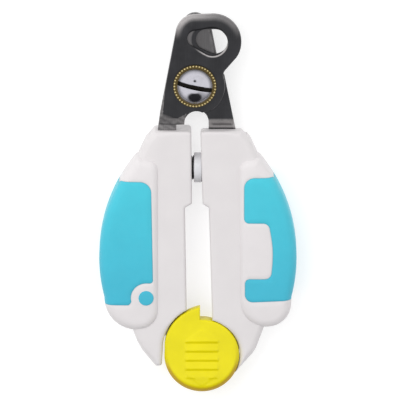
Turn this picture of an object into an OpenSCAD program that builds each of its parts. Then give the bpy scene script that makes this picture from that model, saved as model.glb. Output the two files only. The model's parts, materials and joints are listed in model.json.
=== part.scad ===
// Guillotine nail clipper, lying flat on its back.
// +X to the right-hand handle, +Y to the cutting head, +Z up through the clipper.
// The origin is on the resting plane, under the middle of the clipper.
// Two crossing halves turn on one screw. The ring blade belongs to the left half,
// the cutter blade to the right half, and the lock disc turns on the right half.

/* [Handles] */
// Height of the rigid handle mouldings above the resting plane
rail_z0 = 1.5; // [1:0.1:2.5]
// Top face of the rigid handle mouldings
rail_z1 = 12.5; // [11.5:0.1:13]
// Radius of the bow that forms the outside of each handle
rail_bow_r = 82.5; // [78:0.5:88]
// Reach of that bow from the middle of the clipper
rail_bow_x = 26; // [25:0.1:27]

/* [Grips] */
// Overall thickness of the clipper over its soft grips
grip_h = 14; // [13.5:0.1:15]
// Half of the overall width over the grips
grip_x = 32.5; // [31:0.1:34]
// Radius of the bow on the outside of each grip
grip_bow_r = 53; // [48:0.5:58]
// Thickness of the coloured inlay
inlay_t = 1.0; // [0.8:0.1:1.4]

/* [Cutting head] */
// Radius of the round end of the ring blade
ring_r = 9.25; // [9:0.05:9.6]
// Radius of the nail hole's wide end
hole_r = 4.2; // [4:0.05:4.4]
// Radius of the nail hole's narrow end
hole_end_r = 3.65; // [3.4:0.05:3.8]
// Thickness of the ring blade
ring_t = 2.0; // [1.8:0.1:2.0]
// Thickness of the cutter blade
cutter_t = 1.7; // [1.5:0.1:1.8]

/* [Pivot] */
// Radius of the pivot screw's shank
shank_r = 2.5; // [2:0.1:3]
// Radius of the domed screw head
head_r = 5.75; // [5.2:0.05:6]
// Radius of the beaded washer
washer_r = 7.1; // [6.8:0.05:7.3]
// Number of beads round the washer
bead_count = 42; // [30:1:48]

/* [Lock] */
// Radius of the lock disc
disc_r = 12.35; // [12:0.05:12.5]
// Radius at the tip of its tooth
tooth_r = 16.6; // [16:0.1:16.7]

/* [Hidden] */
$fn = 96;
eps = 0.01;
gap = 0.05;             // running gap between metal faces
fit = 0.02;             // radial gap of a fixed fit
run = 0.06;             // radial gap of a turning fit

// pivot stack, from the back: nut, rear washer, cutter, ring, beaded washer, screw head
pivot = [-1.0, 38.4];
cutter_z = 7.45;
ring_z = cutter_z + cutter_t + gap;
ring_top = ring_z + ring_t;
washer_z = ring_top + gap;
washer_t = 0.9;
rear_washer_t = 1.0;
nut_t = 3.2;
head_z = washer_z + washer_t;
head_rise = 2.3;
slot_w = 1.45;          // driver slot across the head
slot_depth = 1.65;
pivot_gap = 9.9;        // radius of the ring blade's edge beside the cutter's leg
arch = [-0.45, 25.9];   // centre of the arch between the two legs
arch_r = 3.95;

// cutting head
ring_c = [5.0, 53.1];
hole_c = [5.6, 53.3];       // middle of the nail hole's wide end
hole_end = [2.9, 53.9];     // middle of its narrow end
pocket_c = [5.2, 53.1];     // shallow pocket round the hole, its wide and narrow ends
pocket_end = [-0.9, 54.6];
pocket_d = 1;
bevel_w = 2.1;          // ground bevel round the top of the ring blade
bevel_slope = 39;

// joints between blades and handles
leg_y = 23.3;           // top end of both handles
left_drop = 0.8;        // step down of the ring blade's leg
right_drop = 0.6;       // step down of the cutter's leg
left_split = ring_z - left_drop;
right_split = cutter_z - right_drop;
left_tang = [[-13.0, leg_y + 2], [-7.1, leg_y + 2], [-7.1, 9], [-8.5, -3], [-12, -3], [-14.2, 9]];
right_tang = [[4.2, leg_y + 2], [11.8, leg_y + 2], [13.0, 12.6], [11.6, -3], [8.1, -3], [9.8, 12.6],
    [11.0, 14.2], [11.0, 16], [4.2, 16]];
screw_r = 1.2;
core_r = 0.95;          // radius of the screws' tips and of their pilot holes
left_screws = [[-10.6, 17.5], [-10.6, 2.0]];
right_screws = [[7.4, 19.2], [10.4, 1.5]];

// each grip as [side, inner edge, lower end, lean of the inner edge],
// and its layers as [height, inset]
right_grip = [1, 12.8, -43.1, 0.7];
left_grip = [-1, 12.5, -44.3, 0];
grip_layers = [[0, 1.6], [0.6, 0.6], [2.8, 0], [grip_h - 3, 0], [grip_h - 0.8, 0.6], [grip_h - 0.2, 1.6]];

// round button in the left grip
dot_c = [-16.9, -32.7];
dot_r = 2.5;
dot_depth = 0.9;

// return spring, along X between the two handles
spring_c = [10.0, 7.0];     // its axis, as [y, z]
spring_x0 = -2.7;
spring_x1 = 8.2;
spring_r = 3.6;             // radius to the middle of the wire
wire_r = 0.45;
spring_turns = 6.5;
cup_r = 4.6;
cup_x0 = -1.28;
cup_x1 = 9.2;
flange_r = 4.95;        // flange at the cup's mouth
flange_x1 = 1.3;
seat_r = 4.1;           // plate under the spring's left end, set in the left handle
seat_x = [-4.4, -3.2];
pocket_r = 5.3;         // clearance round the spring in the left handle

// lock
lock_c = [1.3, -52.8];
step_a = 92;                // direction of the tooth's step from the disc's centre
spiral_a = 80;              // angle over which the tooth falls back to the round
recess_gap = 0.5;
rear_disc_r = 11;
plate_z = [4.2, 6.7];
catch_z = [7.1, 8.6];
disc_z = [0.8, 3.9, 8.9, 13.0];
axle_r = 2.0;
peg_r = 1.0;
peg_c = lock_c + 10 * [cos(150), sin(150)];
lock_turn = 12;
ridge_pitch = 3.1;

middle_y = 1.374;       // moves the drawing up so that the origin is under its middle

function arc(c, r, a0, a1, n = 12) =
    [for (i = [0:n]) let(a = a0 + (a1 - a0) * i / n) c + r * [cos(a), sin(a)]];
function unit(v) = v / norm(v);
// one corner of an outline, replaced by an arc of radius r
function corner(a, p, b, r, n) =
    let(u = unit(a - p), v = unit(b - p), half = acos(max(-1, min(1, u * v))) / 2,
        c = p + unit(u + v) * r / sin(half), s = p + u * r / tan(half) - c, e = p + v * r / tan(half) - c,
        a0 = atan2(s[1], s[0]), d = atan2(e[1], e[0]) - a0, turn = d > 180 ? d - 360 : d < -180 ? d + 360 : d)
    arc(c, r, a0, a0 + turn, n);
// outline from [x, y, corner radius] entries
function rounded(p, n = 8) =
    [for (i = [0:len(p) - 1]) let(k = len(p), a = p[(i + k - 1) % k], q = p[i], b = p[(i + 1) % k])
        each q[2] > 0 ? corner([a[0], a[1]], [q[0], q[1]], [b[0], b[1]], q[2], n) : [[q[0], q[1]]]];
// points of an outline that stay sharp
function sharp(points) = [for (p = points) [p[0], p[1], 0]];
function bow(s, cx, cy, r, y0, y1, n) =
    [for (i = [0:n]) let(y = y0 + (y1 - y0) * i / n) [s * (cx - r + sqrt(r * r - pow(y - cy, 2))), y, 0]];
// distance of the lock disc's rim from its centre, in direction a
function rim(a) = disc_r + (tooth_r - disc_r) * max(0, 1 - (a - step_a) / spiral_a);

module placed() {
    translate([0, middle_y, 0]) children();
}
module prism(points, z0, z1) {
    translate([0, 0, z0]) linear_extrude(z1 - z0) polygon(points);
}
module rod(c, r, z0, z1) {
    translate([c[0], c[1], z0]) cylinder(r = r, h = z1 - z0);
}
module rod_x(r, x0, x1) {
    translate([x0, spring_c[0], spring_c[1]]) rotate([0, 90, 0]) cylinder(r = r, h = x1 - x0);
}

// ---- outlines -------------------------------------------------------------------------
function right_rail() = rounded(concat(
    [[1.55, -1.2, 0.5], [0.8, leg_y, 1.2], [14.2, leg_y, 0.8]],
    bow(1, rail_bow_x, -17.3, rail_bow_r, 20, -48, 24),
    [[18.9, -51.2, 8], [14.2, -56.6, 1.0]],
    sharp(arc(lock_c, disc_r + 0.4, -28, 74, 24)),
    [[3.6, -2.6, 0.8]]), 5);
function left_rail() = rounded(concat(
    [[-2.2, leg_y, 1.2], [-1.95, -1.2, 0.5], [-4.3, -2.6, 0.8]],
    sharp([for (a = [108:4:152]) lock_c + (rim(a) + recess_gap) * [cos(a), sin(a)]]),
    [[-11.5, -48.6, 0], [-11.9, -56.5, 1.0], [-13.9, -56.5, 1.0], [-18.3, -51.2, 8]],
    bow(-1, rail_bow_x, -17.3, rail_bow_r, -48, 20, 24),
    [[-14.2, leg_y, 0.8]]), 5);
// outline of grip g, drawn inset by i
function grip(g, i) = let(s = g[0], inner = g[1] + i, end = g[2] + i)
    rounded(concat(
        [[s * inner, 14.1 - i, 4], [s * (20.1 - i / 2), 14.4 - i, 2]],
        bow(s, grip_x - i, -19.8, grip_bow_r - i, 11.5 - i, -33 + i, 22),
        [[s * (30.5 - i), end, 7], [s * (inner + g[3]), end, 6.5]]), 6);

// ---- cutting head ---------------------------------------------------------------------
function ring_outline() = rounded(concat(
    sharp(arc(ring_c, ring_r, 96, -34, 32)),
    [[8.05, 42.6, 2.5]],
    sharp(arc(pivot, pivot_gap, 12, -58, 16)),
    sharp(arc(arch, arch_r, 62, 175, 16)),
    [[-4.43, leg_y, 0], [-13.75, leg_y, 0], [-12.4, 29.3, 0], [-6.9, 58.4, 2], [-4.0, 62.1, 3]]), 6);
// outline round two circles and between them, a on the left
function around(a, ra, b, rb) =
    let(d = b - a, dir = atan2(d[1], d[0]), turn = acos((ra - rb) / norm(d)))
    concat(arc(b, rb, dir - turn, dir + turn, 36), arc(a, ra, dir + turn, dir + 360 - turn, 24));
// wedge that takes the front of a plate away to the right of the line from a to b,
// falling from height z at the given angle
module facet(a, b, z, slope) {
    dir = atan2(b[1] - a[1], b[0] - a[0]);
    translate([a[0], a[1], z]) rotate([0, 0, dir]) rotate([slope, 0, 0])
        translate([-30, -30, 0]) cube([60, 30, 6]);
}
// plate of thickness t on level z, that steps down by drop between y0 and y1
module stepped(z, t, drop, y0, y1) {
    translate([-30, 0, 0]) rotate([90, 0, 90]) linear_extrude(60) polygon([
        [80, z], [y0, z], [y1, z - drop], [-20, z - drop],
        [-20, z - drop + t], [y1, z - drop + t], [y0, z + t], [80, z + t]]);
}
// flats ground round the top of the ring blade
module ring_bevel() {
    for (a = [90, 70, 50, 30, 14]) {
        p = ring_c + (ring_r - bevel_w) * [cos(a), sin(a)];
        facet(p, p + [-sin(a), cos(a)], ring_top, bevel_slope);
    }
    facet([-1.6, 60.6], [-7.2, 54.6], ring_top, bevel_slope);
}
module ring_blade() {
    color([0.3, 0.3, 0.32]) difference() {
        intersection() {
            union() {
                prism(ring_outline(), 0, 20);
                prism(left_tang, 0, 20);
            }
            union() {
                stepped(ring_z, ring_t, left_drop, 27.4, 25.2);
                translate([-4, 20, ring_z]) cube([30, 20, ring_t]);
            }
        }
        // creased ramps where the leg steps down to the handle
        intersection() {
            union() {
                facet([-11.4, 29.2], [-6.8, 27.6], ring_top, 12);
                facet([-10.6, 38.6], [-11.4, 29.2], ring_top, 20);
                facet([-6.8, 27.6], [-4.3, 28.8], ring_top, 14);
            }
            translate([-20, 25.2, 0]) cube([16.1, 14, 20]);
        }
        ring_bevel();
        rod(pivot, shank_r + run, 0, 20);
        prism(around(hole_end, hole_end_r, hole_c, hole_r), 0, 20);
        prism(around(pocket_end, 2.5, pocket_c, 4.75), ring_top - pocket_d, 20);
        for (p = left_screws) rod(p, screw_r + gap, 0, 20);
        translate([-7.1, leg_y - 1, 0]) cube([4, 2.9, 20]);
    }
}
function cutter_outline() = concat(
    [[7.0, 44.2], [4.0, 59.6]],
    arc([-0.9, 58.4], 4.0, 35, 165, 12),
    [[-6.3, 52], [-8.6, 43]],
    arc(pivot, 8.3, 150, 268, 18),
    arc(arch, arch_r, 88, 0, 12),
    [[3.55, leg_y], [12.35, leg_y], [8.7, 41.4]]);
module cutter_blade() {
    edge = [[6.1, 48.9], [4.55, 56.7]];
    color([0.55, 0.55, 0.57]) difference() {
        intersection() {
            union() {
                prism(cutter_outline(), 0, 20);
                prism(right_tang, 0, 20);
            }
            stepped(cutter_z, cutter_t, right_drop, 26.6, 24.6);
        }
        // ground bevel beside the cutting edge
        facet(edge[0] - [1.1, 0.2], edge[1] - [1.1, 0.2], cutter_z + cutter_t, 36);
        rod(pivot, shank_r + fit, 0, 20);
        for (p = right_screws) rod(p, screw_r + gap, 0, 20);
        rod_x(cup_r + 0.4, -5, 9.9);
    }
}

// ---- pivot ----------------------------------------------------------------------------
module pivot_screw() {
    cap_r = (head_r * head_r + head_rise * head_rise) / (2 * head_rise);
    color([0.85, 0.85, 0.88]) difference() {
        union() {
            rod(pivot, shank_r, cutter_z - rear_washer_t - nut_t - 0.6, head_z + eps);
            intersection() {
                translate([pivot[0], pivot[1], head_z + head_rise - cap_r]) sphere(r = cap_r);
                rod(pivot, head_r, head_z, head_z + head_rise + 1);
            }
        }
        translate([pivot[0], pivot[1], head_z + head_rise - slot_depth]) rotate([0, 0, -12.5])
            translate([-10, -slot_w / 2, 0]) cube([20, slot_w, 5]);
    }
}
module pivot_washer() {
    bead_r = 0.42;
    color([0.8, 0.62, 0.2]) difference() {
        union() {
            rod(pivot, washer_r - bead_r, washer_z, washer_z + washer_t - 0.1);
            for (i = [0:bead_count - 1])
                rod(pivot + (washer_r - bead_r) * [cos(i * 360 / bead_count), sin(i * 360 / bead_count)],
                    bead_r, washer_z, washer_z + washer_t, $fn = 16);
        }
        rod(pivot, shank_r + fit, 0, 20);
        rod(pivot, head_r + 0.1, washer_z + washer_t - 0.15, 20);
    }
}
module rear_washer() {
    color([0.7, 0.7, 0.72]) difference() {
        rod(pivot, 5.4, cutter_z - rear_washer_t, cutter_z);
        rod(pivot, shank_r + fit, 0, 20);
    }
}
module pivot_nut() {
    z = cutter_z - rear_washer_t - nut_t;
    color([0.75, 0.75, 0.78]) difference() {
        intersection() {
            translate([pivot[0], pivot[1], z]) cylinder(r = 4.62, h = nut_t, $fn = 6);
            translate([pivot[0], pivot[1], z - 1.35]) cylinder(r1 = 3, r2 = 3 + nut_t + 2, h = nut_t + 2);
        }
        rod(pivot, shank_r + fit, 0, 20);
    }
}

// ---- handles --------------------------------------------------------------------------
module right_handle_front() {
    color([0.92, 0.91, 0.91]) difference() {
        prism(right_rail(), right_split, rail_z1);
        prism(right_tang, right_split - 1, right_split + cutter_t);
        translate([3.5, leg_y - 0.6, right_split - 1]) cube([8.9, 2, cutter_t + 1]);
        rod_x(cup_r + fit, -5, cup_x1);
        rod_x(flange_r + 0.05, -5, flange_x1);
        prism(lock_plate_outline(), 0, plate_z[1]);
        for (p = right_screws) rod(p, core_r, 0, right_split + 4);
    }
}
module right_handle_rear() {
    color([0.9, 0.89, 0.89]) difference() {
        prism(right_rail(), rail_z0, right_split);
        translate([-5, leg_y - 2.2, 0]) cube([25, 4, 20]);
        rod_x(cup_r + fit, -5, cup_x1);
        rod_x(flange_r + 0.05, -5, flange_x1);
        prism(lock_plate_outline(), plate_z[0], 20);
        for (p = right_screws) screw_hole(p);
    }
}
module screw_hole(p) {
    rod(p, screw_r + gap, 0, 20);
    rod(p, 2.3, 0, rail_z0 + 2.0);
}
module screws(places, top) {
    color([0.7, 0.7, 0.72]) for (p = places) difference() {
        union() {
            rod(p, screw_r, rail_z0 + 1, top);
            rod(p, core_r - fit, top - eps, top + 2.0);
            rod(p, 2.2, rail_z0 + 0.6, rail_z0 + 2.0);
        }
        for (a = [0, 90]) translate([p[0], p[1], 0]) rotate([0, 0, a])
            translate([-1.3, -0.25, 0]) cube([2.6, 0.5, rail_z0 + 1.3]);
    }
}
module right_handle_screws() { screws(right_screws, right_split + cutter_t); }
module left_handle_screws() { screws(left_screws, left_split + ring_t - 0.3); }
module spring_pocket() {
    rod_x(pocket_r, seat_x[1], 5);
    rod_x(seat_r + gap, seat_x[0], 5);
}
module left_handle_front() {
    color([0.92, 0.91, 0.91]) difference() {
        prism(left_rail(), left_split, rail_z1);
        prism(left_tang, left_split - 1, left_split + ring_t);
        spring_pocket();
        prism(catch_outline(), left_split - 1, catch_z[1]);
        for (p = left_screws) rod(p, core_r, 0, left_split + 4);
    }
}
module left_handle_rear() {
    color([0.9, 0.89, 0.89]) difference() {
        prism(left_rail(), rail_z0, left_split);
        spring_pocket();
        prism(catch_outline(), catch_z[0], 20);
        for (p = left_screws) screw_hole(p);
    }
}

// ---- grips ----------------------------------------------------------------------------
// soft pillow round a handle: flat back and front, swelling between them
module grip_body(g) {
    hull() for (l = grip_layers) prism(grip(g, l[1]), l[0], l[0] + 0.2);
}
module grip_core(g) {
    prism(grip(g, inlay_t + 0.5), inlay_t, grip_h - inlay_t);
}
function left_inlay() = rounded(concat(
    [[-40, 6.6, 0], [-15.9, 6.6, 4], [-15.0, -27.7, 1]],
    sharp(arc(dot_c, 5, 90, 194, 16)),
    [[-22.6, -35.1, 1], [-40, -35.1, 0]]));
function right_inlay() = rounded([[40, 7.9, 0], [15.2, 7.9, 3.5], [15.2, -34.2, 2.5], [40, -33.2, 0]]);
// the same inlay with a bay in its inner edge, which only the front has
function right_inlay_front() = rounded([[40, 7.9, 0], [15.2, 7.9, 3.5], [15.2, -7.4, 1.6], [23.8, -7.4, 2.2],
    [24.2, -26.3, 2.2], [15.5, -26.3, 1.6], [15.5, -34.2, 2.5], [40, -33.2, 0]]);
module left_inlay_zone() {
    prism(left_inlay(), -1, grip_h + 1);
}
module right_inlay_zone() {
    prism(right_inlay(), -1, grip_h / 2);
    prism(right_inlay_front(), grip_h / 2 - eps, grip_h + 1);
}
module right_grip_inlay() {
    color([0.33, 0.78, 0.87]) difference() {
        intersection() { grip_body(right_grip); right_inlay_zone(); }
        grip_core(right_grip);
        prism(right_rail(), rail_z0, rail_z1);
    }
}
module left_grip_inlay() {
    color([0.33, 0.78, 0.87]) difference() {
        intersection() { grip_body(left_grip); left_inlay_zone(); }
        grip_core(left_grip);
        prism(left_rail(), rail_z0, rail_z1);
    }
}
module right_grip_pad() {
    color([0.95, 0.94, 0.94]) difference() {
        grip_body(right_grip);
        prism(right_rail(), rail_z0, rail_z1);
        difference() { right_inlay_zone(); grip_core(right_grip); }
    }
}
module left_grip_pad() {
    color([0.95, 0.94, 0.94]) difference() {
        grip_body(left_grip);
        prism(left_rail(), rail_z0, rail_z1);
        difference() { left_inlay_zone(); grip_core(left_grip); }
        rod(dot_c, dot_r, grip_h - dot_depth, 20);
    }
}
module left_grip_dot() {
    color([0.33, 0.78, 0.87]) rod(dot_c, dot_r - fit, grip_h - dot_depth, grip_h + 0.1);
}

// ---- return spring --------------------------------------------------------------------
module spring_cup() {
    color([0.95, 0.95, 0.96]) difference() {
        union() {
            rod_x(cup_r, cup_x0, cup_x1);
            rod_x(flange_r, cup_x0, flange_x1);
        }
        rod_x(4.2, cup_x0 - 1, spring_x1 + 0.1);
    }
}
module spring_seat() {
    color([0.9, 0.9, 0.92]) {
        rod_x(seat_r, seat_x[0], seat_x[1]);
        rod_x(2.9, seat_x[1] - eps, -0.9);
    }
}
module return_spring() {
    steps = 16;
    sides = 8;
    n = spring_turns * steps;
    points = [for (i = [0:n], j = [0:sides - 1])
        let(a = i * 360 / steps, b = j * 360 / sides, r = spring_r + wire_r * cos(b))
        [spring_x0 + wire_r + (spring_x1 - spring_x0 - 2 * wire_r) * i / n + wire_r * sin(b),
            spring_c[0] + r * cos(a), spring_c[1] + r * sin(a)]];
    faces = concat(
        [[for (j = [0:sides - 1]) j]],
        [[for (j = [sides - 1:-1:0]) n * sides + j]],
        [for (i = [0:n - 1], j = [0:sides - 1]) let(k = (j + 1) % sides)
            [i * sides + j, (i + 1) * sides + j, (i + 1) * sides + k, i * sides + k]]);
    color([0.15, 0.15, 0.16]) polyhedron(points, faces);
}

// ---- lock -----------------------------------------------------------------------------
function lock_plate_outline() = concat(
    arc(lock_c, 5.2, 110, 260, 14),
    [[14.0, -51.6], [18.6, -47.5], [12.2, -39.6], [9.4, -41.2], lock_c + [2.5, 5.2]]);
module lock_plate() {
    color([0.72, 0.72, 0.74]) difference() {
        prism(lock_plate_outline(), plate_z[0], plate_z[1]);
        rod(lock_c, axle_r + run, 0, 20);
    }
}
// hooked latch: the peg under the lock disc rises into its notch when the disc is turned
function catch_outline() =
    let(p = lock_c + 10 * [cos(150 - lock_turn), sin(150 - lock_turn)])
    [[-14.6, -38.4], [-8.0, -37.6], [1.8, -41.6], [1.8, -47.0], [p[0] + peg_r + 0.2, -47.0],
        [p[0] + peg_r + 0.2, p[1] + peg_r + 0.3], [p[0] - peg_r - 0.5, p[1] + peg_r + 0.3],
        [p[0] - peg_r - 2.3, -47.0], [-15.4, -45.6]];
module lock_catch() {
    color([0.72, 0.72, 0.74]) prism(catch_outline(), catch_z[0], catch_z[1]);
}
module disc_slab(z0, z1) {
    rod(lock_c, disc_r, z0, z1);
    prism(concat([lock_c + [tooth_r * cos(step_a), disc_r - 2]],
        [for (i = [0:20]) let(a = step_a + spiral_a * i / 20) lock_c + rim(a) * [cos(a), sin(a)]]), z0, z1);
}
module lock_disc_front() {
    color([0.94, 0.89, 0.13]) difference() {
        union() {
            disc_slab(disc_z[2], disc_z[3] - 0.6);
            // raised pointer with grip ridges
            prism([[-4.0, -62], [lock_c[0], -65.0], [6.6, -62], [6.6, -48], [lock_c[0], -43.6], [-4.0, -48]],
                disc_z[3] - 0.6 - eps, disc_z[3]);
        }
        for (i = [0:3]) translate([-10, lock_c[1] + 4.4 - i * ridge_pitch, disc_z[3] - 0.35])
            cube([20, 0.8, 2]);
        rod(lock_c, axle_r + fit, 0, disc_z[3] - 2);
        rod(peg_c, peg_r + fit, 0, disc_z[3] - 2.2);
    }
}
module lock_disc_rear() {
    color([0.94, 0.89, 0.13]) difference() {
        rod(lock_c, rear_disc_r, disc_z[0], disc_z[1]);
        rod(lock_c, axle_r + fit, disc_z[0] + 1.2, 20);
    }
}
module lock_axle() {
    color([0.75, 0.75, 0.78]) rod(lock_c, axle_r, disc_z[0] + 1.2, disc_z[3] - 2);
}
module lock_peg() {
    color([0.75, 0.75, 0.78]) rod(peg_c, peg_r, catch_z[0] - 0.1, disc_z[3] - 2.2);
}

placed() cutter_blade();
placed() pivot_screw();
placed() pivot_washer();
placed() rear_washer();
placed() pivot_nut();
placed() right_handle_front();
placed() right_handle_rear();
placed() right_handle_screws();
placed() right_grip_pad();
placed() right_grip_inlay();
placed() spring_cup();
placed() return_spring();
placed() lock_plate();
placed() ring_blade();
placed() left_handle_front();
placed() left_handle_rear();
placed() left_handle_screws();
placed() left_grip_pad();
placed() left_grip_inlay();
placed() left_grip_dot();
placed() spring_seat();
placed() lock_catch();
placed() lock_disc_front();
placed() lock_disc_rear();
placed() lock_axle();
placed() lock_peg();
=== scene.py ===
"""Looks of a guillotine nail clipper, built round its CAD frame. Shapes are in millimetres."""
import json
import math

import bmesh
import bpy
import numpy as np
from mathutils import Matrix, Vector
from mathutils.geometry import delaunay_2d_cdt


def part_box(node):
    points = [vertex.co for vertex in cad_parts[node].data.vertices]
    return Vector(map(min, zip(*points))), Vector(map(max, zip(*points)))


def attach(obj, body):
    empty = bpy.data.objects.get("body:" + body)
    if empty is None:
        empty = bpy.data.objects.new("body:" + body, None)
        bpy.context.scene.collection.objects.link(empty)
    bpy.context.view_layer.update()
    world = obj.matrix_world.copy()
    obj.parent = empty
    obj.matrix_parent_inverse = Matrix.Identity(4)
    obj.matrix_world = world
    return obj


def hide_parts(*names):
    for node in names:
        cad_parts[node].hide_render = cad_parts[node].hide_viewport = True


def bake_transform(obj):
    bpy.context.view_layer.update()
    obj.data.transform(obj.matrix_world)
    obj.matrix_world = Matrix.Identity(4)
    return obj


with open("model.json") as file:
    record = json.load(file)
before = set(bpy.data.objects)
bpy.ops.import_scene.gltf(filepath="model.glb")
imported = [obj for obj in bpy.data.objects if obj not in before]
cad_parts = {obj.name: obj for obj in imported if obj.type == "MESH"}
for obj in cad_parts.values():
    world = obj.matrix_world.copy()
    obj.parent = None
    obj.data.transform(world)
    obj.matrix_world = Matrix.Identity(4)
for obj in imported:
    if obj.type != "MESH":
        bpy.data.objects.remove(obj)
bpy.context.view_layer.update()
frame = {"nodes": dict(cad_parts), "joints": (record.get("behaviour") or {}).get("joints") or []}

MM = 0.001
TINY = 1e-12  # keeps divisions from zero
MERGE = 1e-4  # points closer than this become one

# longest edge of an outline once it is made dense
FINE = 0.8
COARSE = 1.2

# joint axes; SHIFT takes the drawing's own coordinates, where PIVOT is fixed, to the frame's
hinge = {joint["name"]: joint for joint in frame["joints"]}
PIVOT = np.array([-1.0, 38.4])
SHIFT = np.array(hinge["handles_open"]["pos_m"][:2]) / MM - PIVOT
LOCK = np.array(hinge["lock_turn"]["pos_m"][:2]) / MM - SHIFT

# levels through the clipper
GRIP_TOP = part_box("right_grip_pad")[1].z / MM
RAIL_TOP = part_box("right_handle_front")[1].z / MM
RING_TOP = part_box("ring_blade")[1].z / MM
RING_THICK = 2.0
CUTTER_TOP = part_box("cutter_blade")[1].z / MM
CUTTER_THICK = 1.7
DISC_FRONT = [value.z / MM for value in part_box("lock_disc_front")]
DISC_REAR = [value.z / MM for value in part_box("lock_disc_rear")]
LEG_Y = 23.3


# ---- plane geometry ------------------------------------------------------------------------
def arc(centre, radius, start, end, count=24):
    """Points on a circle from one angle to another, in degrees."""
    angles = np.radians(np.linspace(start, end, count + 1))
    return np.stack([centre[0] + radius * np.cos(angles), centre[1] + radius * np.sin(angles)], 1)


def fillet(before, point, after, radius, count):
    """The arc that rounds one corner of an outline."""
    u = (before - point) / np.linalg.norm(before - point)
    v = (after - point) / np.linalg.norm(after - point)
    half = math.acos(max(-1.0, min(1.0, float(u @ v)))) / 2
    middle = (u + v) / np.linalg.norm(u + v)
    centre = point + middle * radius / math.sin(half)
    start = point + u * radius / math.tan(half) - centre
    end = point + v * radius / math.tan(half) - centre
    first = math.degrees(math.atan2(start[1], start[0]))
    turn = math.degrees(math.atan2(end[1], end[0])) - first
    turn = (turn + 180) % 360 - 180
    return arc(centre, radius, first, first + turn, count)


def rounded(corners, count=8):
    """A closed outline from (x, y, corner radius) entries."""
    table = np.array(corners, float)
    places = table[:, :2]
    onward = np.roll(places, -1, 0)
    points = []
    for i, radius in enumerate(table[:, 2]):
        if radius > 0:
            points.extend(fillet(places[i - 1], places[i], onward[i], radius, count))
        else:
            points.append(places[i])
    return np.array(points)


def sharp(points):
    """Entries for rounded() that keep their corners."""
    return [(x, y, 0) for x, y in points]


def dense(loop, spacing):
    """The same closed outline with no edge longer than spacing."""
    points = []
    for a, b in zip(loop, np.roll(loop, -1, 0)):
        steps = max(1, math.ceil(np.linalg.norm(b - a) / spacing))
        points.extend(a + (b - a) * i / steps for i in range(steps))
    return np.array(points)


def area(loop):
    """Signed area of an outline, positive when it runs anticlockwise."""
    ahead = np.roll(loop, -1, 0)
    return float((loop[:, 0] * ahead[:, 1] - ahead[:, 0] * loop[:, 1]).sum()) / 2


def inset(loop, amount):
    """The outline moved inwards, or outwards when amount is negative."""
    along = np.roll(loop, -1, 0) - np.roll(loop, 1, 0)
    along /= np.linalg.norm(along, axis=1)[:, None] + 1e-9
    side = 1 if area(loop) > 0 else -1
    return loop + amount * side * np.stack([-along[:, 1], along[:, 0]], 1)


def inside(points, loop):
    """Which of the points the closed outline holds."""
    x, y = points[:, :1], points[:, 1:]
    a, b = loop, np.roll(loop, -1, 0)
    rise = b[:, 1] - a[:, 1]
    rise = np.where(np.abs(rise) < TINY, TINY, rise)
    crosses = (a[:, 1] > y) != (b[:, 1] > y)
    meets = a[:, 0] + (y - a[:, 1]) * (b[:, 0] - a[:, 0]) / rise
    return (crosses & (x < meets)).sum(1) % 2 == 1


def distance(points, loop):
    """Distance of each point from a closed outline."""
    a, b = loop, np.roll(loop, -1, 0)
    along, away = b - a, points[:, None] - a
    share = np.clip((away * along).sum(2) / ((along * along).sum(1) + TINY), 0, 1)
    return np.sqrt(((away - share[..., None] * along) ** 2).sum(2)).min(1)


def depth(points, loop):
    """Distance inside the outline, negative outside it."""
    return np.where(inside(points, loop), 1, -1) * distance(points, loop)


def step(low, high, value):
    """0 up to low, 1 from high, and smooth between them."""
    t = np.clip((value - low) / (high - low), 0, 1)
    return t * t * (3 - 2 * t)


def round_edge(d, width, drop):
    """How far a rounded edge has fallen at distance d from the outline."""
    t = 1 - np.clip(d / width, 0, 1)
    return drop * (1 - np.sqrt(1 - t * t))


def node_outline(node, level):
    """The outer outline of a CAD node's flat face at a height."""
    mesh = frame["nodes"][node].data
    seen = {}
    for polygon in mesh.polygons:
        corners = [mesh.vertices[i].co for i in polygon.vertices]
        if all(abs(co.z / MM - level) < 0.002 for co in corners):
            keys = [(round(co.x / MM, 3), round(co.y / MM, 3)) for co in corners]
            for a, b in zip(keys, keys[1:] + keys[:1]):
                if (b, a) in seen:
                    del seen[(b, a)]
                else:
                    seen[(a, b)] = True
    onward = dict(seen.keys())
    loops = []
    while onward:
        loop = [next(iter(onward))]
        while loop[-1] in onward:
            loop.append(onward.pop(loop[-1]))
        loops.append(np.array(loop[:-1]) - SHIFT)
    return max(loops, key=lambda points: abs(area(points)))


# ---- solids --------------------------------------------------------------------------------
def grid_points(lines, grid):
    """Points of a square grid over the first line, clear of every line."""
    low, high = lines[0].min(0), lines[0].max(0)
    across = np.arange(low[0] + grid / 2, high[0], grid)
    along = np.arange(low[1] + grid / 2, high[1], grid)
    cells = np.stack(np.meshgrid(across, along), -1).reshape(-1, 2)
    clear = np.min([distance(cells, line) for line in lines], 0) > 0.4 * grid
    return cells[clear]


def mesh_plane(lines, keep, grid):
    """Triangles over the part of the plane that keep() chooses, with the lines as their edges."""
    points, edges = [], []
    for line in lines:
        first, count = len(points), len(line)
        points.extend(line)
        edges.extend((first + i, first + (i + 1) % count) for i in range(count))
    if grid:
        points.extend(grid_points(lines, grid))
    found = delaunay_2d_cdt([Vector(p) for p in points], edges, [], 0, MERGE)
    flat = np.array([(v.x, v.y) for v in found[0]])
    triangles = np.array(found[2])
    triangles = triangles[keep(flat[triangles].mean(1))]
    used = np.unique(triangles)
    order = np.full(len(flat), -1)
    order[used] = np.arange(len(used))
    return flat[used], order[triangles]


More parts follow.
